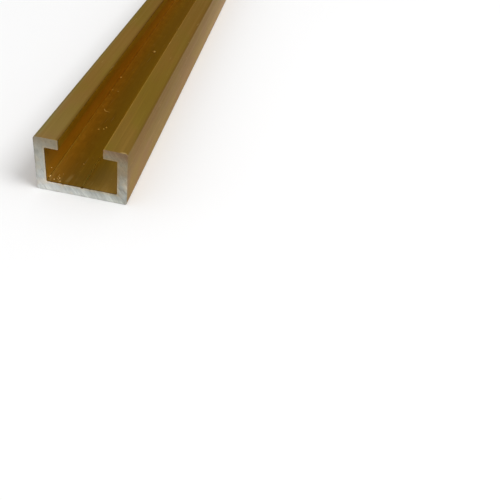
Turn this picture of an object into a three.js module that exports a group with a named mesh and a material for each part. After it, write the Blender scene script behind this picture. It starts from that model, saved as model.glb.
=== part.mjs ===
/*
 * Lipped C-channel (T-slot track), one length of gold anodised aluminium extrusion.
 *
 * Units are millimetres. +Z is up, and the channel's mouth opens upwards. The bar runs along Y.
 * The origin is under the middle of the bar, on the plane of its flat underside.
 *
 * The whole bar is one extruded solid. Its section is drawn once, as the corners of the right
 * half, mirrored to the left half, and every corner that the die rounds becomes a true arc.
 */

import * as THREE from 'three';

// ---------------------------------------------------------------- driving dimensions

const BAR_LENGTH = 304.8; // 12 inch stock length

const WIDTH = 19.0; // across the two side walls
const HEIGHT = 12.3; // underside to the top of the lips
const SIDE_WALL = 2.1;
const FLOOR = 2.1;
const LIP = 2.15; // thickness of the two inward lips
const SLOT = 9.1; // clear mouth between the lips, for a bolt's shank

const SHOULDER_RADIUS = 0.5; // outer corners over the side walls
const FOOT_RADIUS = 0.5; // outer corners of the underside
const ROOT_RADIUS = 0.3; // inside corners of the channel
const LIP_EDGE_RADIUS = 0.2; // both edges of each lip's nose

const GROOVE_WIDTH = 0.45; // V-shaped centre line for a drill, along the channel's floor
const GROOVE_DEPTH = 0.18;

const ARC_SEGMENTS = 3; // half the chords that an arc is divided into

// ---------------------------------------------------------------- section

/** The right half of the section, anticlockwise from the underside to the bottom of the groove. */
function rightHalfCorners() {
  const outside = WIDTH / 2;
  const inside = outside - SIDE_WALL;
  const nose = SLOT / 2;
  const lipUnderside = HEIGHT - LIP;
  return [
    { x: outside, y: 0, radius: FOOT_RADIUS },
    { x: outside, y: HEIGHT, radius: SHOULDER_RADIUS },
    { x: nose, y: HEIGHT, radius: LIP_EDGE_RADIUS },
    { x: nose, y: lipUnderside, radius: LIP_EDGE_RADIUS },
    { x: inside, y: lipUnderside, radius: ROOT_RADIUS },
    { x: inside, y: FLOOR, radius: ROOT_RADIUS },
    { x: GROOVE_WIDTH / 2, y: FLOOR, radius: 0 },
  ];
}

/** All corners of the section, anticlockwise. */
function sectionCorners() {
  const right = rightHalfCorners();
  const grooveBottom = { x: 0, y: FLOOR - GROOVE_DEPTH, radius: 0 };
  const left = right.map((corner) => ({ ...corner, x: -corner.x })).reverse();
  return [...right, grooveBottom, ...left];
}

/** Adds one corner to the outline: a plain point, or the arc that is tangent to both its sides. */
function addCorner(outline, before, corner, after) {
  if (corner.radius === 0) {
    outline.lineTo(corner.x, corner.y);
    return;
  }
  const point = new THREE.Vector2(corner.x, corner.y);
  const arriving = point.clone().sub(before).normalize();
  const leaving = new THREE.Vector2(after.x, after.y).sub(point).normalize();
  const turn = Math.atan2(arriving.cross(leaving), arriving.dot(leaving));
  const side = Math.sign(turn); // +1 turns left, -1 turns right
  const tangentLength = corner.radius * Math.tan(Math.abs(turn) / 2);

  const toCentre = new THREE.Vector2(-arriving.y, arriving.x).multiplyScalar(side * corner.radius);
  const centre = point.clone().addScaledVector(arriving, -tangentLength).add(toCentre);
  const startAngle = Math.atan2(-toCentre.y, -toCentre.x);
  outline.absarc(centre.x, centre.y, corner.radius, startAngle, startAngle + turn, side < 0);
}

function sectionShape() {
  const corners = sectionCorners();
  const outline = new THREE.Shape();
  corners.forEach((corner, index) => {
    const before = corners.at(index - 1);
    const after = corners[(index + 1) % corners.length];
    addCorner(outline, before, corner, after);
  });
  return outline;
}

// ---------------------------------------------------------------- bar

/** The section pushed out along the bar and stood up, so that its height is along Z. */
function channelBarGeometry() {
  const geometry = new THREE.ExtrudeGeometry(sectionShape(), {
    depth: BAR_LENGTH,
    steps: 1,
    curveSegments: ARC_SEGMENTS,
    bevelEnabled: false,
  });
  geometry.translate(0, 0, -BAR_LENGTH / 2);
  geometry.rotateX(Math.PI / 2);
  return geometry;
}

function goldAnodisedAluminium() {
  return new THREE.MeshStandardMaterial({
    name: 'gold_anodised',
    color: 0x8a6f38,
    metalness: 0.85,
    roughness: 0.42,
  });
}

function channelBar() {
  const bar = new THREE.Mesh(channelBarGeometry(), goldAnodisedAluminium());
  bar.name = 'channel_bar';
  return bar;
}

const track = new THREE.Group();
track.add(channelBar());

export default track;
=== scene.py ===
"""A length of gold anodised T-slot track: a lipped aluminium channel with sawn ends.

The bar is swept from its section by Geometry Nodes. The saw's burr, its crumbs and one curled
shaving are pieces of their own. Every finish is made of nodes on the bar's own coordinates.
"""

import math
import random
from functools import cached_property

import bpy
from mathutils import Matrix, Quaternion, Vector
from mathutils.geometry import delaunay_2d_cdt


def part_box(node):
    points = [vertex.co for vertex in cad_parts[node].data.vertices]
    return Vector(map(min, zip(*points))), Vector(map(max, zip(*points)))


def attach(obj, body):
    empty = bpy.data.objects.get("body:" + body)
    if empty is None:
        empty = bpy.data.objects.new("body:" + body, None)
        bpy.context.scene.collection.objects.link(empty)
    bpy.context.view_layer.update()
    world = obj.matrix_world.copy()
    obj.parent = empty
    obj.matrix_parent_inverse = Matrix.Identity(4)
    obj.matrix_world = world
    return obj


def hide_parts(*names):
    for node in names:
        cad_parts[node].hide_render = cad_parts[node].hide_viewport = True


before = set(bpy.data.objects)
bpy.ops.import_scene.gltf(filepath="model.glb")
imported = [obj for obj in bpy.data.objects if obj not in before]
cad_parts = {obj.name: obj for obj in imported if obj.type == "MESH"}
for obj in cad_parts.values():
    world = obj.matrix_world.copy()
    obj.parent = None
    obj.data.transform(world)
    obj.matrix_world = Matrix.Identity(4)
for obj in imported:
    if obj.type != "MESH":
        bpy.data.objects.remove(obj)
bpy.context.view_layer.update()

# ---------------------------------------------------------------- the bar, in metres

MM = 0.001
HALF_WIDTH, HALF_LENGTH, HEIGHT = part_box("channel_bar")[1]  # the bar's highest corner

SIDE_WALL = 2.1 * MM
FLOOR = 2.1 * MM  # of the channel, above the underside
LIP = 2.15 * MM
HALF_SLOT = 4.55 * MM
SHOULDER_RADIUS = 0.5 * MM
FOOT_RADIUS = 0.5 * MM
ROOT_RADIUS = 0.3 * MM
LIP_EDGE_RADIUS = 0.2 * MM
HALF_GROOVE = 0.225 * MM
GROOVE_DEPTH = 0.18 * MM

INSIDE = HALF_WIDTH - SIDE_WALL  # half the channel's inner width
LIP_UNDERSIDE = HEIGHT - LIP

OUTLINE_STEP = 0.13 * MM  # longest stretch between two points of the section's outline
ARC_STEP = 0.07 * MM
CAP_STEP = 0.12 * MM  # between the points that roughen a sawn end
CAP_SEED = 3
STATIONS = 30  # steps of the sweep along the bar
WELD = 0.002 * MM
CREASE = math.radians(24)  # an edge that turns more than this stays sharp
END_FACING = 0.35  # a face that looks this much along the bar is bare metal

# ---------------------------------------------------------------- what the saw did

BLADE_CENTRE = Vector((82 * MM, 0, 57 * MM))  # it came down through the bar's upper right
TOOTH_PITCH = 0.55 * MM
STROKE_LENGTH = 3.2 * MM  # how far one tooth's scratch runs
STROKE_PATTERN = 113.4  # which of the many patterns of scratches
SWEEP_PITCH = 1.2 * MM  # the broad, faint bands that the whole blade left
SWEEP_LENGTH = 6 * MM
SWEEP_PATTERN = 75.6
FINE_PITCH = 0.16 * MM
FINE_LENGTH = 1.4 * MM
SAW_DEPTH = 0.022 * MM
EDGE_BREAK = 0.07 * MM  # the most that the saw took off a sharp edge
CHIP_DEPTH = 0.22 * MM  # what the few deeper chips in that edge add to it
# The knock's bright patch is partly a painted highlight.
KNOCK_GLINT = (8.6 * MM, HEIGHT - 0.1 * MM)  # across and height of the knock beside the near cut
KNOCK_STRETCH = 1.5  # it is this many times as long across the bar as along it

# Duller and brighter patches of the sawn ends: across the bar, height and reach, in
# millimetres, and shade.
SAWN_PATCHES = [
    (-3.0, 1.25, 1.1, 0.86), (-1.0, 0.55, 1.0, 1.13), (9.3, 6.0, 0.9, 1.24),
    (8.9, 2.0, 0.7, 1.10), (-8.9, 9.0, 0.9, 0.82), (-8.4, 3.0, 0.7, 0.87),
    (-8.5, 5.5, 1.0, 1.10), (3.0, 1.8, 0.8, 0.90), (9.2, 0.6, 0.9, 0.85),
]

# Brown bites in the sawn ends at the channel's floor: across the bar and reach, in millimetres.
EDGE_BITES = [(-3.95, 0.36), (0.0, 0.42), (1.7, 0.34)]
BITE_STRETCH = 1.6  # a bite is this many times as wide as deep

SLACK = 0.02 * MM  # in telling which part of the outline a point is on
BURR_STEP = 0.07 * MM
BURR_SIZE = 0.075 * MM  # the fattest that the burr gets
SLIGHT_BURR = 0.28  # how strong it is on edges that are not on the underside, where it is 1
GROOVE_BURR = 0.05  # and beside the groove
BURR_LEAN = 1.02  # how far the bead leans back into the metal, in thicknesses of it
BURR_STAND = 0.3  # how far it stands out where the channel gives it room

# Crumbs of swarf: across the bar, along it from the near end, height and size, in millimetres.
CRUMBS = [
    (-7.30, 1.90, 2.30, 0.34), (-7.33, 1.60, 2.26, 0.20), (-7.30, 2.88, 3.70, 0.22),
    (-6.25, 1.16, 2.15, 0.27), (-5.76, 1.68, 2.13, 0.20), (-5.33, 1.87, 2.16, 0.30),
    (-5.78, 2.42, 2.12, 0.17), (-5.70, 2.96, 2.13, 0.19), (-5.37, 1.20, 2.13, 0.19),
    (-4.83, 0.89, 2.13, 0.24), (-5.02, 0.77, 2.12, 0.17), (-5.16, 3.60, 2.12, 0.15),
    (-2.50, 8.62, 2.13, 0.28), (-4.15, 24.00, 2.15, 0.42), (-2.70, 25.50, 2.13, 0.40),
    (-3.05, 24.60, 2.12, 0.30), (-6.68, 35.50, 2.13, 0.20), (-6.88, 41.90, 2.14, 0.32),
    (-7.05, 44.90, 2.16, 0.44), (-5.54, 44.60, 2.15, 0.40), (-7.20, 52.80, 2.24, 0.62),
    (-7.11, 68.50, 2.15, 0.26), (-3.06, 74.05, 2.21, 1.02),
    (5.90, 296.40, 2.15, 0.28), (6.40, 301.10, 2.14, 0.20), (4.80, 299.70, 2.13, 0.16),
]
CRUMB_TEAR = 0.09 * MM  # how far a crumb's surface is torn out of round
DUST_FROM_WALLS, DUST_FROM_ENDS = 0.6 * MM, 0.5 * MM  # how near to them the dust comes
DUST_SIZE = 0.045 * MM
DUST_DENSITY = 110000  # grains to a square metre, close to the ends
DUST_SEED, GRAIN_SEED, FORM_SEED, TURN_SEED = 4, 5, 11, 12

# One curled shaving that lies on the floor of the channel.
SHAVING_CENTRE = Vector((-4.09, 34.65, 2.13))  # in the way that the crumbs' places are given
SHAVING_RADIUS = 1.9 * MM
SHAVING_TURN = (192, 270)  # degrees, where it starts and where it ends
SHAVING_WIDTH = 0.27 * MM
SHAVING_THICKNESS = 0.04 * MM
SHAVING_LIFT = 0.16 * MM
SHAVING_WAVER = 0.05 * MM

# ---------------------------------------------------------------- colours, in linear light

BROWN_FILM = (0.204, 0.115, 0.0245)
OLIVE_FILM = (0.187, 0.121, 0.0187)
# The flanks' colours hold a painted reflection of the floor, lighter towards the foot.
FLANK_FOOT_LIT = (0.281, 0.197, 0.082)
FLANK_HEAD = (0.187, 0.115, 0.0365)
# Inside the channel the film's colours also hold painted light, bounced round the channel.
WALL_FILM_BOUNCE_LIT = (0.52, 0.265, 0.010)
WALL_STREAK_BOUNCE_LIT = (0.50, 0.295, 0.026)
# The floor's colours also hold painted light bounced off the channel's walls.
BED_MIDDLE_BOUNCE_LIT = (0.235, 0.125, 0.005)
BED_SIDES_BOUNCE_LIT = (0.40, 0.22, 0.013)
BROKEN_FILM = (0.66, 0.50, 0.24)
SCUFFED_FILM = (0.42, 0.29, 0.11)
TRAIL_FILM = (0.56, 0.42, 0.15)
SCRATCHED_FILM = (0.50, 0.38, 0.17)
GOLD_GLINT = (1.0, 0.80, 0.52, 1.0)  # what the film's reflections take at a grazing angle

# The bare metal under a painted shade, from the lower left of a sawn end to its upper right.
SAWN_METAL_AND_SHADE = [
    (0.0, (0.588, 0.602, 0.588)), (0.1, (0.537, 0.555, 0.54)), (0.28, (0.41, 0.425, 0.395)),
    (0.5, (0.375, 0.37, 0.325)), (0.72, (0.265, 0.227, 0.162)), (0.86, (0.260, 0.223, 0.153)),
    (1.0, (0.215, 0.145, 0.085)),
]
BITE_TINT = (0.58, 0.47, 0.32)
SWARF_METAL = (0.86, 0.68, 0.34)
SWARF_FILM = (0.70, 0.46, 0.14)
PALE_FLOOR = (0.93, 0.93, 0.93, 1)

# ---------------------------------------------------------------- camera and light

CAMERA_PLACE = Vector((35.67, -249.98, 75.66)) * MM
CAMERA_AIM = Vector((36.58, -153.84, -4.36)) * MM
CAMERA_ROLL = math.radians(11.39)
CAMERA_LENS = 42.46  # millimetres, as the sensor's width is
SENSOR_WIDTH = 36.0
CAMERA_NEAREST = 0.005

WORLD_LIGHT = 0.72
SOFT_BOX_PLACE = Vector((0.55, -0.25, 0.8))
SOFT_BOX_AIM = Vector((0, -0.1, 0))
SOFT_BOX_SIDE = 0.5
SOFT_BOX_POWER = 4.6  # watts

FLOOR_REACH = 3.0  # from the middle of the pale floor to its sides
FLOOR_GAP = 0.05 * MM  # between the pale floor and the bar's underside
WHITE_FROM, WHITE_PAST = 0.04, 0.35  # how far from the bar the pale floor turns white


# ---------------------------------------------------------------- node helpers


def add(tree, kind, inputs=None, **settings):
    """A node with its settings. Inputs given as sockets are linked, and the rest are values."""
    node = tree.nodes.new(kind)
    for name, value in settings.items():
        setattr(node, name, value)
    for key, value in (inputs or {}).items():
        if isinstance(value, bpy.types.NodeSocket):
            tree.links.new(value, node.inputs[key])
        elif value is not None:
            node.inputs[key].default_value = value
    return node


def wired(kind, inputs, output=0, **settings):
    """An output of a node that is added to the tree which its inputs come from."""
    source = next(value for value in inputs.values() if isinstance(value, bpy.types.NodeSocket))
    return add(source.id_data, kind, inputs, **settings).outputs[output]


def maths(operation, a, b=0.0, c=0.0, clamp=False):
    return wired("ShaderNodeMath", {0: a, 1: b, 2: c}, operation=operation, use_clamp=clamp)


def vector_maths(operation, a, b=(0.0, 0.0, 0.0), output="Vector"):
    return wired("ShaderNodeVectorMath", {0: a, 1: b}, output, operation=operation)


def scaled(vector, factor):
    return wired("ShaderNodeVectorMath", {0: vector, "Scale": factor}, operation="SCALE")


def split(vector):
    return add(vector.id_data, "ShaderNodeSeparateXYZ", {0: vector}).outputs


def joined(x, y, z):
    return wired("ShaderNodeCombineXYZ", {0: x, 1: y, 2: z})


def length(x, y, z):
    return vector_maths("LENGTH", joined(x, y, z), output="Value")


def noise(place, scale, detail=2.0, roughness=0.5, output="Fac"):
    inputs = {"Vector": place, "Scale": scale, "Detail": detail, "Roughness": roughness}
    return wired("ShaderNodeTexNoise", inputs, output)


def remap(value, low, high, to_low=0.0, to_high=1.0, smooth=True):
    """value from low..high to to_low..to_high, held at both ends."""
    inputs = {"Value": value, 1: low, 2: high, 3: to_low, 4: to_high}
    return wired("ShaderNodeMapRange", inputs,
                 interpolation_type="SMOOTHSTEP" if smooth else "LINEAR")


def below(value, limit):
    return maths("LESS_THAN", value, limit)


def above(value, limit):
    return maths("GREATER_THAN", value, limit)


def opposite(mask):
    return maths("SUBTRACT", 1.0, mask)


def overlap(mask, *others):
    """What is left of a mask inside the others."""
    for other in others:
        mask = maths("MULTIPLY", mask, other)
    return mask


def blended(factor, a, b, mode="MIX"):
    """Two colours, each a socket or three numbers, mixed by a factor."""
    a, b = ((*tone, 1.0) if isinstance(tone, tuple) else tone for tone in (a, b))
    return wired("ShaderNodeMix", {0: factor, 6: a, 7: b}, 2, data_type="RGBA", blend_type=mode)


def glazed(skin, *coats):
    """A colour under coats of dye or haze, each a tint and the masks that it is laid on through."""
    for tint, *masks in coats:
        skin = blended(overlap(*masks), skin, tint, "MULTIPLY")
    return skin


def ramp(value, stops):
    """The colour at a value, between stops that are each a position and a colour."""
    node = add(value.id_data, "ShaderNodeValToRGB", {0: value})
    elements = node.color_ramp.elements
    while len(elements) < len(stops):
        elements.new(0.5)
    for element, (position, tone) in zip(elements, stops):
        element.position = position
        element.color = (*tone, 1.0)
    return node.outputs[0]


def distance_from_cut(y):
    """How far a place is from the nearer sawn end."""
    return maths("SUBTRACT", HALF_LENGTH, maths("ABSOLUTE", y))


def saw_strokes(place, pitch, stroke, pattern=STROKE_PATTERN):
    """About 0 to 1 across the broken arcs that the blade's teeth left, at a place in metres."""
    x, _, z = split(place)
    from_x = maths("SUBTRACT", x, BLADE_CENTRE.x)
    from_z = maths("SUBTRACT", z, BLADE_CENTRE.z)
    across = maths("DIVIDE", length(from_x, 0.0, from_z), pitch)
    angle = maths("ARCTAN2", from_z, from_x)
    along = maths("MULTIPLY", angle, BLADE_CENTRE.length / stroke)
    return noise(joined(across, along, pattern), 1.0, roughness=0.6)


# ---------------------------------------------------------------- the section


def section_corners():
    """(x, z, radius) of each corner, anticlockwise as seen from the near end."""
    right = [
        (HALF_WIDTH, 0, FOOT_RADIUS),
        (HALF_WIDTH, HEIGHT, SHOULDER_RADIUS),
        (HALF_SLOT, HEIGHT, LIP_EDGE_RADIUS),
        (HALF_SLOT, LIP_UNDERSIDE, LIP_EDGE_RADIUS),
        (INSIDE, LIP_UNDERSIDE, ROOT_RADIUS),
        (INSIDE, FLOOR, ROOT_RADIUS),
        (HALF_GROOVE, FLOOR, 0),
    ]
    left = [(-x, z, radius) for x, z, radius in reversed(right)]
    return [*right, (0, FLOOR - GROOVE_DEPTH, 0), *left]


def arc_at(before, corner, after, radius):
    """The points of the arc that rounds a corner, or the corner itself where it is sharp."""
    if not radius:
        return [corner]
    arriving = (corner - before).normalized()
    leaving = (after - corner).normalized()
    turn = math.atan2(arriving.cross(leaving), arriving.dot(leaving))
    side = math.copysign(1, turn)
    start = corner - arriving * radius * math.tan(abs(turn) / 2)
    to_centre = Vector((-arriving.y, arriving.x)) * side * radius
    spoke = -to_centre
    chords = max(3, math.ceil(abs(turn) * radius / ARC_STEP))
    points = []
    for k in range(chords + 1):
        angle = turn * k / chords
        turned = Vector((spoke.x * math.cos(angle) - spoke.y * math.sin(angle),
                         spoke.x * math.sin(angle) + spoke.y * math.cos(angle)))
        points.append(start + to_centre + turned)
    return points


def section_outline():
    """The outline's points with no stretch longer than OUTLINE_STEP."""
    corners = section_corners()
    flat = [Vector((x, z)) for x, z, _ in corners]
    rounded = []
    for k, (_, _, radius) in enumerate(corners):
        rounded += arc_at(flat[k - 1], flat[k], flat[(k + 1) % len(flat)], radius)
    outline = []
    for a, b in zip(rounded, rounded[1:] + rounded[:1]):
        parts = max(1, math.ceil((b - a).length / OUTLINE_STEP))
        outline += [a.lerp(b, k / parts) for k in range(parts)]
    return outline


def outward_normals(outline):
    """Which way is out of the metal at each point of the outline."""
    normals = []
    for k, _ in enumerate(outline):
        along = outline[(k + 1) % len(outline)] - outline[k - 1]
        normals.append(Vector((along.y, -along.x)).normalized())
    return normals


def spread(low, high):
    """Places about CAP_STEP apart from low to high, a little way in from both."""
    margin = 0.7 * CAP_STEP
    room = high - low - 2 * margin
    steps = max(1, round(room / CAP_STEP))
    return [low + margin + room * k / steps for k in range(steps + 1)]


def points_in_metal(rng):
    """Loose points over the section, for a sawn end that is rough and not one flat face."""
    limbs = [
        (-HALF_WIDTH, 0, HALF_WIDTH, FLOOR - GROOVE_DEPTH),
        (-HALF_WIDTH, FLOOR, -INSIDE, LIP_UNDERSIDE),
        (INSIDE, FLOOR, HALF_WIDTH, LIP_UNDERSIDE),
        (-HALF_WIDTH, LIP_UNDERSIDE, -HALF_SLOT, HEIGHT),
        (HALF_SLOT, LIP_UNDERSIDE, HALF_WIDTH, HEIGHT),
    ]
    jitter = 0.2 * CAP_STEP
    points = []
    for x0, z0, x1, z1 in limbs:
        for x in spread(x0, x1):
            for z in spread(z0, z1):
                points.append(Vector((x + rng.uniform(-jitter, jitter),
                                      z + rng.uniform(-jitter, jitter))))
    return points


def section_mesh():
    """The section as a face of fine triangles at the near end, with its outward directions."""
    outline = section_outline()
    count = len(outline)
    rim = [(k, (k + 1) % count) for k in range(count)]
    inner = points_in_metal(random.Random(CAP_SEED))
    kept_inside = 1  # the kind of result that drops the triangles outside the outline
    apart = 1e-7  # points that are closer than this become one
    points, _, faces, origins, _, _ = delaunay_2d_cdt(
        outline + inner, rim, [list(range(count))], kept_inside, apart)
    mesh = bpy.data.meshes.new("section")
    mesh.from_pydata([(p.x, -HALF_LENGTH, p.y) for p in points], [], faces)
    outward = mesh.attributes.new("outward", "FLOAT_VECTOR", "POINT")
    normals = outward_normals(outline)
    for k, came_from in enumerate(origins):
        on_rim = [n for n in came_from if n < count]
        if on_rim:
            normal = normals[on_rim[0]]
            outward.data[k].vector = (normal.x, 0, normal.y)
    mesh.update()
    return mesh


# ---------------------------------------------------------------- geometry node helpers


def new_tree(name, **sockets):
    """A geometry tree with one geometry in and out, and the named inputs. Returns its ends too."""
    tree = bpy.data.node_groups.new(name, "GeometryNodeTree")
    tree.interface.new_socket(name="Geometry", in_out="INPUT", socket_type="NodeSocketGeometry")
    for label, kind in sockets.items():
        tree.interface.new_socket(name=label, in_out="INPUT", socket_type=f"NodeSocket{kind}")
    tree.interface.new_socket(name="Geometry", in_out="OUTPUT", socket_type="NodeSocketGeometry")
    start = tree.nodes.new("NodeGroupInput").outputs
    return tree, start, tree.nodes.new("NodeGroupOutput")


def made_by(tree, mesh, name, values):
    """The piece that a tree makes from a mesh, as a plain mesh that rides on the bar's body."""
    source = bpy.data.objects.new(name + "_source", mesh)
    bpy.context.scene.collection.objects.link(source)
    modifier = source.modifiers.new("build", "NODES")
    modifier.node_group = tree
    for item in tree.interface.items_tree:
        if item.in_out == "INPUT" and item.name in values:
            modifier[item.identifier] = values[item.name]
    source.update_tag()
    graph = bpy.context.evaluated_depsgraph_get()
    made = bpy.data.meshes.new_from_object(source.evaluated_get(graph))
    made.name = name
    bpy.data.objects.remove(source)
    piece = bpy.data.objects.new(name, made)
    bpy.context.scene.collection.objects.link(piece)
    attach(piece, "root")
    return piece


def position(tree):
    return add(tree, "GeometryNodeInputPosition").outputs[0]


def named(tree, name, data_type="FLOAT"):
    node = add(tree, "GeometryNodeInputNamedAttribute", {"Name": name}, data_type=data_type)
    return node.outputs["Attribute"]


def stored(geometry, name, value, data_type="FLOAT", domain="POINT"):
    inputs = {"Geometry": geometry, "Name": name, "Value": value}
    return wired("GeometryNodeStoreNamedAttribute", inputs, data_type=data_type, domain=domain)


def moved(geometry, offset, selection=None):
    inputs = {"Geometry": geometry, "Selection": selection, "Offset": offset}
    return wired("GeometryNodeSetPosition", inputs)


def extruded(mesh, edges, offset):
    """The mesh with its given edges drawn out by an offset, and which of its edges are new."""
    node = add(mesh.id_data, "GeometryNodeExtrudeMesh",
               {"Mesh": mesh, "Selection": edges, "Offset Scale": 0.0}, mode="EDGES")
    new_edges = node.outputs["Top"]
    return moved(node.outputs["Mesh"], offset, new_edges), new_edges


def turned_over(mesh):
    return wired("GeometryNodeFlipFaces", {"Mesh": mesh})


def together(*parts):
    node = add(parts[0].id_data, "GeometryNodeJoinGeometry")
    for part in parts:
        node.id_data.links.new(part, node.inputs[0])
    return node.outputs[0]


def shaded(geometry, smooth, domain="FACE", selection=None):
    inputs = {"Geometry": geometry, "Selection": selection, "Shade Smooth": smooth}
    return wired("GeometryNodeSetShadeSmooth", inputs, domain=domain)


def clad(geometry, metal, selection=None):
    inputs = {"Geometry": geometry, "Selection": selection, "Material": metal}
    return wired("GeometryNodeSetMaterial", inputs)


def realized(geometry):
    return wired("GeometryNodeRealizeInstances", {"Geometry": geometry})


def picked_over(value, limit):
    """Picks the edges or faces whose value is over the limit."""
    return wired("FunctionNodeCompare", {0: value, 1: limit}, data_type="FLOAT",
                 operation="GREATER_THAN")


def random_value(tree, low, high, seed):
    """A random value for each point, of the kind that low and high are."""
    if isinstance(low, tuple):
        return add(tree, "FunctionNodeRandomValue", {0: low, 1: high, 8: seed},
                   data_type="FLOAT_VECTOR").outputs[0]
    return add(tree, "FunctionNodeRandomValue", {2: low, 3: high, 8: seed},
               data_type="FLOAT").outputs[1]


# ---------------------------------------------------------------- the bar


def broken_out(tree):
    """The way out of the metal at each edge of an end, as long as what the saw took off it."""
    return scaled(named(tree, "outward", "FLOAT_VECTOR"), named(tree, "broken"))


def sawn_cap(tree, given, place):
    """The near end. The saw leaves arcs across it, and breaks each edge by a little that varies."""
    strokes = saw_strokes(place, TOOTH_PITCH, STROKE_LENGTH)
    relief = maths("MULTIPLY", remap(strokes, 0.25, 0.75), given["SawDepth"])
    ripple = remap(noise(place, 1.6 / MM, detail=3.0), 0.3, 0.7, 0.35, 1.0)
    chips = remap(noise(place, 0.9 / MM, detail=1.0), 0.66, 0.76)
    broken = maths("MULTIPLY_ADD", chips, given["ChipDepth"],
                   maths("MULTIPLY", ripple, given["EdgeBreak"]))
    cap = stored(moved(given["Geometry"], joined(0.0, relief, 0.0)), "broken", broken)
    return moved(cap, scaled(broken_out(tree), -1.0))


def swept_walls(tree, given, place, cap):
    """The cap's rim, drawn out to the broken edge and then along the bar to the far end."""
    outward, along = broken_out(tree), joined(0.0, named(tree, "broken"), 0.0)
    neighbours = add(tree, "GeometryNodeInputMeshEdgeNeighbors").outputs[0]
    rim = wired("FunctionNodeCompare", {2: neighbours, 3: 1}, data_type="INT", operation="EQUAL")
    walls, new_edges = extruded(cap, rim, vector_maths("ADD", outward, along))
    walls = stored(walls, "front", new_edges, "BOOLEAN", "EDGE")
    stretch = maths("DIVIDE", maths("MULTIPLY", split(place)[1], -2.0), given["Stations"])
    walls = stored(walls, "stretch", stretch)

    # One step of the sweep, repeated along the bar.
    first = tree.nodes.new("GeometryNodeRepeatInput")
    last = tree.nodes.new("GeometryNodeRepeatOutput")
    first.pair_with_output(last)
    tree.links.new(given["Stations"], first.inputs["Iterations"])
    tree.links.new(walls, first.inputs["Geometry"])
    front = named(tree, "front", "BOOLEAN")
    step = joined(0.0, named(tree, "stretch"), 0.0)
    pushed, new_edges = extruded(first.outputs["Geometry"], front, step)
    pushed = stored(pushed, "front", new_edges, "BOOLEAN", "EDGE")
    tree.links.new(pushed, last.inputs["Geometry"])

    # The far end's broken edge.
    inward = scaled(outward, -1.0)
    return extruded(last.outputs["Geometry"], front, vector_maths("ADD", inward, along))[0]


def far_cap(place, cap):
    """The near cap, mirrored to the far end."""
    x, y, z = split(place)
    mirrored = joined(x, maths("MULTIPLY", y, -1.0), z)
    return turned_over(wired("GeometryNodeSetPosition", {"Geometry": cap, "Position": mirrored}))


def bar_tree():
    """Sweeps the section from the near end to the far end, with both ends sawn and closed."""
    tree, given, out = new_tree(
        "swept_bar", Stations="Int", SawDepth="Float", EdgeBreak="Float", ChipDepth="Float",
        Skin="Material", Sawn="Material")
    place = position(tree)
    cap = sawn_cap(tree, given, place)
    bar = together(swept_walls(tree, given, place, cap), far_cap(place, cap))
    bar = wired("GeometryNodeMergeByDistance", {"Geometry": bar, "Distance": WELD})

    # Smooth round the arcs, sharp where the saw cut, bare metal on what the saw cut.
    sharp = picked_over(add(tree, "GeometryNodeInputMeshEdgeAngle").outputs[0], CREASE)
    bar = shaded(shaded(bar, True), False, "EDGE", sharp)
    normal = add(tree, "GeometryNodeInputNormal").outputs[0]
    cut = picked_over(maths("ABSOLUTE", split(normal)[1]), END_FACING)
    bar = clad(clad(bar, given["Skin"]), given["Sawn"], cut)
    tree.links.new(realized(bar), out.inputs[0])
    return tree


def make_bar(skin, sawn):
    bar = made_by(bar_tree(), section_mesh(), "track_bar", {
        "Stations": STATIONS, "SawDepth": SAW_DEPTH, "EdgeBreak": EDGE_BREAK,
        "ChipDepth": CHIP_DEPTH, "Skin": skin, "Sawn": sawn})
    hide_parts("channel_bar")


# ---------------------------------------------------------------- what the saw left behind


def from_near_end(x, y, z):
    """A place in metres from one in millimetres, whose y starts at the near end of the bar."""
    return Vector((x * MM, y * MM - HALF_LENGTH, z * MM))


def beside_channel(point):
    """Whether a point of the outline is on a wall of the channel or on the nose of a lip."""
    across, height = abs(point.x), point.y
    in_mouth = across < HALF_SLOT + SLACK
    under_lips = (across < INSIDE + SLACK
                  and FLOOR - 2 * GROOVE_DEPTH < height < LIP_UNDERSIDE + SLACK)
    return (in_mouth or under_lips) and SLACK < height <= HEIGHT - SLACK


def burr_at(point):
    """How strong the burr is at a point of the outline. The saw left most on the underside."""
    if beside_channel(point) and abs(point.x) < 2 * HALF_GROOVE:
        return GROOVE_BURR
    return 1.0 if point.y < SLACK else SLIGHT_BURR


def rim_mesh():
    """The outline at the near end as a closed line, with how strong its burr is and its lean."""
    outline = section_outline()
    count = len(outline)
    mesh = bpy.data.meshes.new("rim")
    mesh.from_pydata([(p.x, -HALF_LENGTH, p.y) for p in outline],
                     [(k, (k + 1) % count) for k in range(count)], [])
    strength = mesh.attributes.new("strength", "FLOAT", "POINT")
    lean = mesh.attributes.new("lean", "FLOAT_VECTOR", "POINT")
    for k, (point, normal) in enumerate(zip(outline, outward_normals(outline))):
        outward = BURR_STAND if beside_channel(point) else -BURR_LEAN
        strength.data[k].value = burr_at(point)
        lean.data[k].vector = (normal.x * outward, BURR_LEAN, normal.y * outward)
    mesh.update()
    return mesh


def finished(tree, out, metal, *parts):
    """Ends a tree with its parts together, smooth, in one metal and realized."""
    tree.links.new(realized(clad(shaded(together(*parts), True), metal)), out.inputs[0])
    return tree


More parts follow.
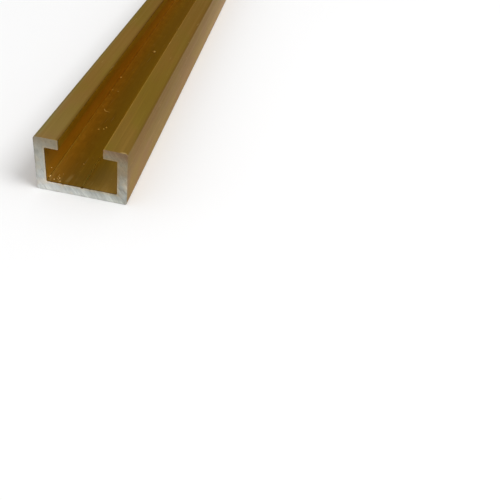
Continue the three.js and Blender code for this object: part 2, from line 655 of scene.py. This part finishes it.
def burr_tree():
    """A bead of turned metal, thick and thin, along the sawn edges of both ends."""
    tree, given, out = new_tree("sawn_burr", Step="Float", Size="Float", Metal="Material")
    line = wired("GeometryNodeMeshToCurve", {"Mesh": given["Geometry"]})
    line = wired("GeometryNodeResampleCurve", {"Curve": line, "Length": given["Step"]},
                 mode="LENGTH")
    lumps = noise(position(tree), 0.8 / MM, detail=3.0, roughness=0.7)
    lumps = remap(lumps, 0.42, 0.72, 0.12)
    line = stored(line, "thickness", overlap(lumps, named(tree, "strength"), given["Size"]))
    thickness = named(tree, "thickness")
    line = moved(line, scaled(named(tree, "lean", "FLOAT_VECTOR"), thickness))
    ring = add(tree, "GeometryNodeCurvePrimitiveCircle", {"Resolution": 6, "Radius": 1.0})
    near = wired("GeometryNodeCurveToMesh", {
        "Curve": line, "Profile Curve": ring.outputs[0], "Scale": thickness})
    far = wired("GeometryNodeTransform", {"Geometry": near, "Scale": (1, -1, 1)})
    return finished(tree, out, given["Metal"], near, turned_over(far))


def strewn_dust(tree, given, place):
    """Fine grains over the channel's floor, which thin out away from the ends."""
    rows = 160  # enough along the bar for the dust to thin out smoothly
    bed = add(tree, "GeometryNodeMeshGrid", {
        "Size X": 2 * (INSIDE - DUST_FROM_WALLS), "Size Y": 2 * (HALF_LENGTH - DUST_FROM_ENDS),
        "Vertices X": 4, "Vertices Y": rows}).outputs[0]
    bed = moved(bed, (0.0, 0.0, FLOOR + 0.01 * MM))
    thick = remap(distance_from_cut(split(place)[1]), 2 * MM, 45 * MM, 1.0, 0.05)
    density = maths("MULTIPLY", thick, given["DustDensity"])
    dust = wired("GeometryNodeDistributePointsOnFaces",
                 {"Mesh": bed, "Density": density, "Seed": given["Seed"]})
    grain = random_value(tree, 0.5, 1.6, GRAIN_SEED)
    return stored(dust, "size", maths("MULTIPLY", grain, given["DustSize"]))


def crumbs_tree():
    """A torn chip on each given point and on each grain of dust."""
    tree, given, out = new_tree("swarf_crumbs", DustSize="Float", DustDensity="Float",
                                Seed="Int", Metal="Material")
    place = position(tree)
    loose = wired("GeometryNodeMeshToPoints", {"Mesh": given["Geometry"]})
    grains = add(tree, "GeometryNodeMeshIcoSphere", {"Radius": 0.5, "Subdivisions": 2}).outputs[0]
    form = random_value(tree, (0.9, 0.7, 0.45), (1.25, 1.0, 0.7), FORM_SEED)
    turn = random_value(tree, (-0.3, -0.3, 0.0), (0.3, 0.3, math.tau), TURN_SEED)
    chips = wired("GeometryNodeInstanceOnPoints", {
        "Points": together(loose, strewn_dust(tree, given, place)), "Instance": grains,
        "Rotation": turn, "Scale": scaled(form, named(tree, "size"))})
    torn = noise(place, 14 / MM, output="Color")
    torn = scaled(vector_maths("SUBTRACT", torn, (0.5, 0.5, 0.5)), CRUMB_TEAR)
    return finished(tree, out, given["Metal"], moved(realized(chips), torn))


def crumb_points():
    """The crumbs' places as loose points, with their sizes."""
    mesh = bpy.data.meshes.new("crumbs")
    mesh.from_pydata([from_near_end(x, y, z) for x, y, z, _ in CRUMBS], [], [])
    sizes = mesh.attributes.new("size", "FLOAT", "POINT")
    for k, (_, _, _, size) in enumerate(CRUMBS):
        sizes.data[k].value = size * MM
    return mesh


def shaving_tree():
    """A thin curl that the blade threw off: an arc swept with a flat section, lifted at one end."""
    tree, given, out = new_tree("curled_shaving", Radius="Float", Start="Float", Sweep="Float",
                                Width="Float", Metal="Material")
    arc = wired("GeometryNodeCurveArc", {
        "Resolution": 28, "Radius": given["Radius"], "Start Angle": given["Start"],
        "Sweep Angle": given["Sweep"]}, mode="RADIUS")
    along = add(tree, "GeometryNodeSplineParameter").outputs[0]
    lift = remap(along, 0.35, 1.0, 0.0, SHAVING_LIFT)
    waver = maths("MULTIPLY", noise(position(tree), 2.0 / MM), SHAVING_WAVER)
    arc = moved(arc, joined(waver, 0.0, lift))
    from_middle = maths("ABSOLUTE", maths("SUBTRACT", along, 0.5))
    flat = wired("GeometryNodeCurvePrimitiveQuadrilateral",
                 {"Width": given["Width"], "Height": SHAVING_THICKNESS})
    curl = wired("GeometryNodeCurveToMesh", {
        "Curve": arc, "Profile Curve": flat, "Fill Caps": True,
        "Scale": remap(from_middle, 0.2, 0.5, 1.0, 0.25)})
    return finished(tree, out, given["Metal"], moved(curl, from_near_end(*SHAVING_CENTRE)))


def make_saw_leavings(sawn, swarf):
    made_by(burr_tree(), rim_mesh(), "sawn_burr",
            {"Step": BURR_STEP, "Size": BURR_SIZE, "Metal": sawn})
    made_by(crumbs_tree(), crumb_points(), "swarf_crumbs", {
        "DustSize": DUST_SIZE, "DustDensity": DUST_DENSITY, "Seed": DUST_SEED, "Metal": swarf})
    start, end = (math.radians(turn) for turn in SHAVING_TURN)
    made_by(shaving_tree(), bpy.data.meshes.new("shaving"), "curled_shaving", {
        "Radius": SHAVING_RADIUS, "Start": start, "Sweep": end - start,
        "Width": SHAVING_WIDTH, "Metal": swarf})


# ---------------------------------------------------------------- where a finish is on the bar


class OnBar:
    """Where a point of a finish lies on the bar. A fade goes from its start to its end, both in
    millimetres, and from 0 to 1 unless it is given two other values."""

    def __init__(self, tree):
        self.place = add(tree, "ShaderNodeTexCoord").outputs["Object"]
        self.x, self.y, self.z = split(self.place)

    @staticmethod
    def fade(value, start, end, at_start=0.0, at_end=1.0):
        return remap(value, start * MM, end * MM, at_start, at_end)

    def sideways(self, *span):
        """A fade across the bar, measured from its centre line to the right."""
        return self.fade(self.x, *span)

    def upwards(self, *span):
        return self.fade(self.z, *span)

    def along(self, *span):
        """A fade along the bar, measured from the nearer sawn end."""
        return self.fade(self.from_cut, *span)

    def beside(self, line, far, near):
        """1 near a line that runs along the bar, fading to 0 far from it on both sides."""
        return self.fade(maths("ABSOLUTE", maths("SUBTRACT", self.x, line * MM)), far, near)

    def on_lips(self, edge, past):
        """1 on the edges of the lips' noses, fading to 0 over their tops."""
        topmost = above(self.z, HEIGHT - LIP_EDGE_RADIUS)
        span = (HALF_SLOT + edge * MM, HALF_SLOT + past * MM, 1.0, 0.0)
        return overlap(topmost, remap(self.across, *span))

    def drawn_out(self, factor):
        """The place with its length shortened, for patterns that are drawn out along the bar."""
        return joined(self.x, maths("MULTIPLY", self.y, factor), self.z)

    @cached_property
    def across(self):
        return maths("ABSOLUTE", self.x)

    @cached_property
    def from_cut(self):
        return distance_from_cut(self.y)

    @cached_property
    def near_cut(self):
        """1 at a sawn end, fading to 0 over 14 mm."""
        return self.along(0, 14, 1.0, 0.0)

    @cached_property
    def at_mouth(self):
        """1 in the first half millimetre from a sawn end."""
        return self.along(3.5, 0.5)

    @cached_property
    def deep_in(self):
        """1 well away from both sawn ends."""
        return self.along(45, 110)

    @cached_property
    def on_left(self):
        return below(self.x, 0.0)

    @cached_property
    def on_flank(self):
        return above(self.across, HALF_WIDTH - 0.05 * MM)

    @cached_property
    def in_channel(self):
        """1 on the walls of the channel and on the noses of the lips, 0 on the outside."""
        edge = 0.05 * MM
        deep = overlap(below(self.across, INSIDE + edge),
                       below(self.z, LIP_UNDERSIDE + edge))
        nose = overlap(below(self.across, HALF_SLOT + edge),
                       below(self.z, HEIGHT - LIP_EDGE_RADIUS))
        over_base = above(self.z, FLOOR - GROOVE_DEPTH - edge)
        return overlap(maths("MAXIMUM", deep, nose), over_base)

    @cached_property
    def on_bed(self):
        """1 on the floor of the channel."""
        return overlap(self.in_channel, below(self.z, FLOOR + ROOT_RADIUS / 2))


def new_material(name):
    """A material, its shader, and where its points lie on the bar."""
    material = bpy.data.materials.new(name)
    material.use_nodes = True
    nodes = material.node_tree.nodes
    return material, nodes["Principled BSDF"], OnBar(material.node_tree)


def surfaced(shader, colour, roughness, height, metallic, strength, depth):
    """Gives a finish its colour, its roughness and the fine relief of a height."""
    relief = wired("ShaderNodeBump", {"Height": height, "Strength": strength, "Distance": depth})
    shader.inputs["Metallic"].default_value = metallic
    for name, value in (("Base Color", colour), ("Roughness", roughness), ("Normal", relief)):
        shader.id_data.links.new(value, shader.inputs[name])


# ---------------------------------------------------------------- the gold film, with painted light and shade


def outside_film_and_light(bar, patches):
    """Brown and olive by turns on the lips, paler on the left one and down the flanks, under
    painted light and shade: a bluish sheen by the cuts, shade towards the bar's middle, and the
    floor's reflection, lighter towards the flanks' feet.
    """
    top = blended(remap(patches, 0.36, 0.64), BROWN_FILM, OLIVE_FILM)
    painted_sheen = blended(bar.on_left, (1.02, 1.11, 1.35), (1.13, 1.17, 2.1))
    # Painted sheen by the cuts and painted shade towards the middle of the bar; browner to the
    # right, bluish by the left outer edge.
    top = glazed(
        top,
        ((0.93, 0.88, 0.62), bar.sideways(-8, 6)),
        (painted_sheen, bar.along(0, 28, 1.0, 0.0)),
        ((0.79, 0.73, 0.48), bar.along(35, 95)),
        ((1.0, 1.14, 1.42), bar.sideways(-8.25, -8.7)))
    # A painted reflection of the floor, lighter towards the foot of each flank.
    flank = blended(bar.upwards(2, 11.8), FLANK_FOOT_LIT, FLANK_HEAD)
    flank = glazed(
        flank,
        ((0.98, 0.90, 1.12), remap(patches, 0.42, 0.6)),
        ((1.01, 1.10, 1.22), bar.near_cut, bar.upwards(3, 8)))
    # Painted light where the rounded foot mirrors the floor.
    lit_foot = overlap(
        remap(bar.across, HALF_WIDTH - FOOT_RADIUS, HALF_WIDTH - 0.2 * MM),
        bar.upwards(0.2, 1.3, 1.0, 0.0))
    # Painted shade away from the cuts, and painted light and shade along the flanks.
    away = bar.along(0, 35)
    return glazed(
        blended(bar.on_flank, top, flank),
        ((1.22, 1.18, 1.12), lit_foot),
        ((0.94, 0.93, 0.91), away),
        ((0.87, 0.885, 1.0), bar.on_flank, bar.upwards(0.5, 7), away),
        ((1.07, 1.08, 1.10), bar.on_flank, bar.upwards(4, 2), bar.along(45, 65)),
        ((0.94, 0.96, 1.2), bar.on_flank, bar.along(3, 1)),
        ((1.16, 1.22, 1.45), bar.on_flank, bar.along(70, 135)),
        ((1.04, 1.06, 1.25), bar.on_flank, bar.along(115, 165)))


def wall_film_and_light(bar, streaks):
    """Redder and deeper than the outside, partly as painted light bounced round the channel, with
    painted shade up under the lips and deep in the bar, and a painted bluish sheen near the cuts.
    """
    return glazed(
        blended(remap(streaks, 0.35, 0.7), WALL_FILM_BOUNCE_LIT, WALL_STREAK_BOUNCE_LIT),
        # Painted shade under the lips and deep in the bar, and a painted bluish sheen near the
        # cuts.
        ((0.90, 0.89, 0.55), bar.upwards(6.5, 9.5)),
        ((1.02, 1.05, 1.0), bar.along(45, 10)),
        ((1.0, 1.1, 2.2), bar.near_cut),
        ((0.93, 0.99, 1.4), bar.at_mouth),
        ((0.92, 0.96, 1.05), bar.along(1.5, 3), bar.along(40, 20), bar.upwards(3.4, 2.7)),
        ((0.84, 0.77, 0.74), bar.deep_in, bar.upwards(3.5, 6.5)))


def bed_film_and_light(bar):
    """Darkest along the middle of the channel's floor and lighter beside its walls, as painted
    light bounced off them, with a painted bluish sheen towards the cuts.
    """
    painted_sheen = blended(bar.sideways(-4, 1.5), (1.04, 1.13, 2.5), (0.79, 0.85, 2.5))
    return glazed(
        blended(bar.fade(bar.across, 0.5, 6.5), BED_MIDDLE_BOUNCE_LIT, BED_SIDES_BOUNCE_LIT),
        (painted_sheen, bar.near_cut),
        # Painted shadow under the right lip, painted shade along the groove and deep in the bar,
        # and more painted light and shade over the floor.
        ((0.70, 0.74, 1.15), bar.sideways(-0.5, 2.5), bar.along(-1, 8)),
        ((1.06, 1.02, 1.0), bar.sideways(-1.5, -4.2), bar.along(45, 25)),
        ((1.05, 1.13, 1.35), bar.sideways(-5, -6.7), bar.along(40, 14)),
        ((0.98, 0.95, 0.72), bar.beside(0.35, 1.0, 0.1), bar.along(2, 6)),
        ((0.90, 0.95, 1.35), bar.at_mouth, bar.sideways(-3, -5)),
        ((1.11, 1.14, 1.3), bar.at_mouth, bar.beside(0.7, 2.4, 1.4)),
        ((1.04, 1.05, 1.2), bar.sideways(-5.6, -6.6), bar.along(4, 9)),
        ((0.91, 0.85, 0.72), bar.deep_in, bar.sideways(-4, -2)),
        ((0.985, 0.92, 0.75), bar.along(12, 60), bar.sideways(-3.2, -6)),
        ((0.89, 0.88, 1.0), bar.beside(-2.05, 0.7, 0.2), bar.along(6, 3.5)))


def root_shade_and_sheen(bar, skin):
    """Painted shade in the channel's lower corners, with a painted bluish sheen beside the left
    one.
    """
    root = overlap(
        bar.in_channel, below(bar.z, FLOOR + ROOT_RADIUS),
        remap(bar.across, INSIDE - 1.3 * ROOT_RADIUS, INSIDE - 0.6 * ROOT_RADIUS))
    dark = blended(bar.along(18, 45), (0.725, 0.675, 0.55), (0.73, 0.63, 0.33))
    return glazed(
        skin,
        (dark, root),
        ((1.06, 1.10, 1.7), bar.in_channel, bar.sideways(-6.5, -6.9),
         below(bar.z, FLOOR + 0.7 * MM), opposite(root), bar.along(6.5, 3)))


def mottled_left(bar, skin):
    """Pale and dark mottles low in the left of the channel."""
    mottles = noise(bar.drawn_out(0.4), 0.9 / MM, detail=3.0)
    low = remap(bar.z, FLOOR + 2 * MM, FLOOR + 0.8 * MM)
    mottled = overlap(bar.in_channel, low, bar.sideways(-2, -4.5), bar.along(5, 12))
    return glazed(
        skin,
        ((1.13, 1.16, 1.6), mottled, remap(mottles, 0.53, 0.68)),
        ((0.92, 0.90, 0.85), mottled, remap(mottles, 0.47, 0.32)))


def lit_groove(bar, skin):
    # Painted light that lifts the groove out of its own shade, bluish and strongest away from the
    # cuts.
    groove = overlap(bar.in_channel, below(bar.z, FLOOR - 0.02 * MM))
    pale = blended(bar.along(0.4, 1.3), (0.95, 0.93, 1.0), (1.66, 2.1, 3.4))
    return glazed(skin, (pale, groove), ((1.12, 1.11, 1.6), groove, bar.along(4, 8)))


def edge_shade_and_highlight(bar, skin):
    """Painted shade along the outer corners and the left lip's inner edge, and a painted highlight
    along the right lip's inner edge.
    """
    shoulder = overlap(
        remap(bar.across, HALF_WIDTH - 0.6 * MM, HALF_WIDTH - 0.25 * MM),
        remap(bar.z, HEIGHT - 0.55 * MM, HEIGHT - 0.25 * MM))
    left_shoulder_shade = overlap(bar.sideways(-8.7, -9.1),
                            remap(bar.z, HEIGHT - 0.8 * MM, HEIGHT - 0.4 * MM))
    dull = blended(bar.near_cut, (0.83, 0.79, 0.90), (0.92, 0.90, 0.92))
    shaded_lip_edge = blended(bar.along(30, 75), (0.73, 0.64, 0.42), (0.60, 0.46, 0.12))
    return glazed(
        skin,
        (dull, shoulder),
        ((0.78, 0.90, 0.82), left_shoulder_shade),
        (shaded_lip_edge, bar.on_lips(0.1, 0.8), bar.on_left),
        # Painted highlight along the right lip's inner edge.
        ((1.45, 1.42, 1.35), bar.on_lips(0.15, 0.4), opposite(bar.on_left),
         bar.along(25, 70, 1.0, 0.9)))


def frayed_and_shaded_at_cuts(bar, skin):
    """Inside, a painted shadow of the burr lies as a brown line beside each cut. Outside, the film
    is broken to bright metal here and there along the cut, most of all where one shoulder took a
    knock, a bright patch that is partly a painted highlight."""
    wander = noise(bar.place, 2.4 / MM, detail=3.0)
    frayed = maths("MULTIPLY_ADD", wander, 0.5 * MM, bar.from_cut)
    burr_shadow = overlap(bar.fade(frayed, 0.35, 0.68, 1.0, 0.0), bar.in_channel)
    skin = glazed(skin, ((0.36, 0.36, 0.75), burr_shadow))
    bitten = overlap(remap(noise(bar.place, 0.35 / MM), 0.5, 0.62, 0.0, 0.2),
                     bar.fade(frayed, 0.32, 0.5, 1.0, 0.0))
    x, z = KNOCK_GLINT
    from_knock = vector_maths(
        "DISTANCE", vector_maths("MULTIPLY", bar.place, (1, KNOCK_STRETCH, 1)),
        (x, -KNOCK_STRETCH * HALF_LENGTH, z), output="Value")
    bitten = maths("MAXIMUM", bitten, bar.fade(from_knock, 0.3, 0.95, 0.42, 0.0))
    bitten = overlap(bitten, opposite(bar.in_channel))
    return blended(bitten, skin, BROKEN_FILM)


def scuffed_bed(bar, skin):
    """Pale scuffs and a slanting trail on the channel's floor, close to each cut."""
    rubbed = noise(bar.drawn_out(0.22), 1.1 / MM, detail=3.0)
    scuffed = overlap(
        remap(rubbed, 0.48, 0.72), bar.along(0.3, 4.5, 1.0, 0.0), bar.on_bed,
        bar.sideways(-1.5, 1.0, 0.4, 1.0), bar.sideways(3, 4.2, 1.0, 0.6))
    centre = maths("MULTIPLY_ADD", bar.from_cut, 0.10, -3.65 * MM)
    from_centre = maths("ABSOLUTE", maths("SUBTRACT", bar.x, centre))
    trail = overlap(bar.along(0.5, 1.5), bar.along(4.8, 2.5),
                    bar.fade(from_centre, 0.6, 0.1), bar.on_bed)
    skin = blended(overlap(scuffed, 0.42), skin, SCUFFED_FILM)
    return blended(overlap(trail, 0.48), skin, TRAIL_FILM)


def long_scratches(bar):
    """1 in fine scratches that run nearly along the bar."""
    slanted = wired("ShaderNodeMapping", {0: bar.place, 1: (3.1 * MM, 0.0, 0.0),
                                          2: (0.0, 0.0, math.radians(3.5))})
    slanted = vector_maths("MULTIPLY", slanted, (1.0, 0.03, 1.0))
    return remap(noise(slanted, 3.4 / MM), 0.70, 0.76)


def gold_anodised():
    material, shader, bar = new_material("gold_anodised")

    # Streaks that the die drew along the bar, patches where the dye took unevenly, and the etch.
    streaks = noise(bar.drawn_out(0.012), 0.9 / MM, detail=4.0, roughness=0.6)
    lines = noise(bar.drawn_out(0.012), 6.0 / MM, detail=3.0, roughness=0.65)
    patches = noise(bar.drawn_out(0.3), 0.2 / MM, detail=3.0)
    etch = noise(bar.place, 9.0 / MM, roughness=0.7)
    scratches = long_scratches(bar)

    skin = blended(bar.in_channel, outside_film_and_light(bar, patches), wall_film_and_light(bar, streaks))
    skin = blended(bar.on_bed, skin, bed_film_and_light(bar))
    skin = root_shade_and_sheen(bar, skin)
    skin = mottled_left(bar, skin)
    skin = lit_groove(bar, skin)
    skin = glazed(
        skin,
        ((1.22, 1.24, 1.35), remap(streaks, 0.56, 0.74)),
        ((0.88, 0.87, 0.82), remap(lines, 0.5, 0.3)))
    skin = edge_shade_and_highlight(bar, skin)
    skin = frayed_and_shaded_at_cuts(bar, skin)
    skin = scuffed_bed(bar, skin)
    skin = blended(overlap(scratches, 0.35), skin, SCRATCHED_FILM)

    rough = remap(streaks, 0.3, 0.7, 0.44, 0.52)
    rough = maths("MULTIPLY_ADD", etch, 0.05, rough)
    rough = maths("MULTIPLY_ADD", scratches, -0.12, rough, clamp=True)
    height = maths("MULTIPLY_ADD", streaks, 2.0, lines)
    height = maths("MULTIPLY_ADD", etch, 0.35, height)
    height = maths("MULTIPLY_ADD", scratches, -0.8, height)
    surfaced(shader, skin, rough, height, metallic=0.94, strength=0.25, depth=0.004 * MM)
    shader.inputs["Specular Tint"].default_value = GOLD_GLINT
    return material


# ---------------------------------------------------------------- the bare metal, with painted light and shade


def from_channel(bar):
    """How far a place in the cut metal is from the nearest surface of the channel."""
    over_lips = maths("SUBTRACT", bar.z, LIP_UNDERSIDE)
    under_bed = maths("SUBTRACT", FLOOR, bar.z)
    spans = []
    for half, height in ((INSIDE, maths("MAXIMUM", over_lips, under_bed)), (HALF_SLOT, under_bed)):
        beside = maths("MAXIMUM", maths("SUBTRACT", bar.across, half), 0.0)
        spans.append(length(beside, 0.0, maths("MAXIMUM", height, 0.0)))
    return maths("MINIMUM", *spans)


def spot(place, centre, reach, core):
    """1 in the core of a round spot, which is a part of its reach, and 0 past its reach."""
    apart = vector_maths("DISTANCE", place, centre, output="Value")
    return remap(apart, reach * MM, core * reach * MM)


def sawn_metal_and_shade(bar, broad, coarse):
    """A painted shade runs over the cut, from brightest low on its left to darkest at its upper
    right. The strokes are plainest low on the right."""
    slope = maths("MULTIPLY_ADD", bar.x, 0.28, bar.z)
    dull = remap(slope, -1 * MM, 14 * MM, smooth=False)
    plain = overlap(bar.sideways(-7, 5, 0.5, 1.0), bar.upwards(7.5, 3.8, 0.35, 1.0))
    tone = maths("MULTIPLY_ADD", maths("SUBTRACT", broad, 0.5), 0.85,
                 maths("SUBTRACT", coarse, 0.5))
    return scaled(ramp(dull, SAWN_METAL_AND_SHADE), maths("MULTIPLY_ADD", tone, plain, 1.0))


def sawn_aluminium():
    material, shader, bar = new_material("sawn_aluminium")
    broad = saw_strokes(bar.place, SWEEP_PITCH, SWEEP_LENGTH, SWEEP_PATTERN)
    coarse = saw_strokes(bar.place, TOOTH_PITCH, STROKE_LENGTH)
    fine = saw_strokes(bar.place, FINE_PITCH, FINE_LENGTH)
    grit = noise(bar.place, 3.0 / MM, detail=4.0, roughness=0.7)
    cloud = noise(bar.place, 0.45 / MM)

    # Bright scratches, stained clouds, dark pits, painted light along the foot, painted shade along
    # the left edge, and a warm rim with a painted highlight along its edge round the channel.
    from_rim = from_channel(bar)
    on_sill = overlap(below(bar.z, FLOOR), bar.sideways(0.8, 2.2))
    metal = glazed(
        sawn_metal_and_shade(bar, broad, coarse),
        ((1.16, 1.15, 1.12), remap(fine, 0.5, 0.72)),
        ((1.05, 0.98, 0.91), remap(cloud, 0.5, 0.68)),
        ((0.60, 0.60, 0.58), remap(grit, 0.62, 0.72)),
        ((1.10, 1.09, 1.07), bar.upwards(1.3, 0.1)),
        ((0.84, 0.85, 0.86), remap(bar.x, 0.35 * MM - HALF_WIDTH, 0.1 * MM - HALF_WIDTH)),
        ((0.96, 0.85, 0.68), bar.fade(from_rim, 0.7, 0.05), bar.sideways(-9, 2, 0.55, 0.85)),
        ((1.22, 1.20, 1.20), bar.fade(from_rim, 0.4, 0.15),
         maths("MULTIPLY_ADD", on_sill, -0.75, 1.0)))
    flat = joined(bar.x, 0.0, bar.z)
    for x, z, reach, shade in SAWN_PATCHES:
        patch = spot(flat, (x * MM, 0.0, z * MM), reach, 0.2)
        metal = glazed(metal, ((shade, shade, shade), patch))
    tall = joined(bar.x, 0.0, maths("MULTIPLY", bar.z, BITE_STRETCH))
    for x, reach in EDGE_BITES:
        bite = spot(tall, (x * MM, 0.0, BITE_STRETCH * FLOOR), reach, 0.5)
        metal = glazed(metal, (BITE_TINT, bite))
    rough = remap(grit, 0.3, 0.7, 0.42, 0.6)
    height = maths("MULTIPLY_ADD", fine, 0.8, grit)
    surfaced(shader, metal, rough, height, metallic=1.0, strength=0.5, depth=0.01 * MM)
    return material


def bright_swarf():
    """Torn metal with some of the gold film still on it."""
    material, shader, bar = new_material("bright_swarf")
    film = noise(bar.place, 4.0 / MM)
    metal = glazed(
        blended(remap(film, 0.4, 0.62), SWARF_METAL, SWARF_FILM),
        # Painted shade on the crumbs further along the channel: warmer past a few millimetres,
        # darker past about 40.
        ((0.98, 0.86, 0.42), bar.along(4, 20)),
        ((0.60, 0.56, 0.48), bar.along(37, 46)))
    rough = remap(film, 0.3, 0.7, 0.3, 0.5)
    height = noise(bar.place, 25 / MM)
    surfaced(shader, metal, rough, height, metallic=0.6, strength=0.4, depth=0.01 * MM)
    return material


# ---------------------------------------------------------------- studio


def aimed(holder, place, aim):
    """Puts a camera or a lamp in its place and points it at its aim. Returns how it is turned."""
    holder.location = place
    holder.rotation_mode = "QUATERNION"
    holder.rotation_quaternion = (aim - place).to_track_quat("-Z", "Y")
    bpy.context.scene.collection.objects.link(holder)
    return holder.rotation_quaternion


def place_camera():
    camera = bpy.data.cameras.new("camera")
    camera.lens = CAMERA_LENS
    camera.sensor_width = SENSOR_WIDTH
    camera.clip_start = CAMERA_NEAREST
    holder = bpy.data.objects.new("camera", camera)
    facing = aimed(holder, CAMERA_PLACE, CAMERA_AIM)
    holder.rotation_quaternion = facing @ Quaternion((0, 0, 1), CAMERA_ROLL)
    bpy.context.scene.camera = holder


def lay_floor():
    """A pale floor that runs out into the white backdrop, some way from the bar."""
    mesh = bpy.data.meshes.new("floor")
    corners = ((-1, -1), (1, -1), (1, 1), (-1, 1))
    mesh.from_pydata([(x * FLOOR_REACH, y * FLOOR_REACH, -FLOOR_GAP) for x, y in corners],
                     [], [(0, 1, 2, 3)])
    floor = bpy.data.objects.new("floor", mesh)
    bpy.context.scene.collection.objects.link(floor)
    material, shader, bar = new_material("pale_floor")
    shader.inputs["Base Color"].default_value = PALE_FLOOR
    shader.inputs["Roughness"].default_value = 0.9
    shader.inputs["Specular IOR Level"].default_value = 0.0
    beside = maths("SUBTRACT", bar.across, HALF_WIDTH)
    beyond = maths("SUBTRACT", maths("ABSOLUTE", bar.y), HALF_LENGTH)
    apart = length(maths("MAXIMUM", beside, 0.0), maths("MAXIMUM", beyond, 0.0), 0.0)
    tree = material.node_tree
    seen = add(tree, "ShaderNodeLightPath").outputs["Is Camera Ray"]
    white = add(tree, "ShaderNodeEmission").outputs[0]
    fade = overlap(seen, remap(apart, WHITE_FROM, WHITE_PAST))
    faded = wired("ShaderNodeMixShader", {0: fade, 1: shader.outputs[0], 2: white})
    tree.links.new(faded, tree.nodes["Material Output"].inputs["Surface"])
    mesh.materials.append(material)


def hang_soft_box():
    lamp = bpy.data.lights.new("key", "AREA")
    lamp.shape = "RECTANGLE"
    lamp.size = lamp.size_y = SOFT_BOX_SIDE
    lamp.energy = SOFT_BOX_POWER
    aimed(bpy.data.objects.new("key", lamp), SOFT_BOX_PLACE, SOFT_BOX_AIM)


def hang_backdrop():
    """A world that lights softly, and is seen and mirrored as plain white."""
    world = bpy.data.worlds.new("studio")
    world.use_nodes = True
    tree = world.node_tree
    back = tree.nodes["Background"]
    back.inputs["Color"].default_value = (1, 1, 1, 1)
    path = add(tree, "ShaderNodeLightPath").outputs
    seen = maths("ADD", path["Is Camera Ray"], path["Is Glossy Ray"])
    seen = maths("ADD", seen, path["Is Transmission Ray"], clamp=True)
    strength = remap(seen, 0.0, 1.0, WORLD_LIGHT, 1.0, smooth=False)
    tree.links.new(strength, back.inputs["Strength"])
    bpy.context.scene.world = world


def main():
    bpy.context.scene.view_settings.view_transform = "Standard"
    place_camera()
    skin = gold_anodised()
    sawn = sawn_aluminium()
    make_bar(skin, sawn)
    make_saw_leavings(sawn, bright_swarf())
    lay_floor()
    hang_soft_box()
    hang_backdrop()


main()
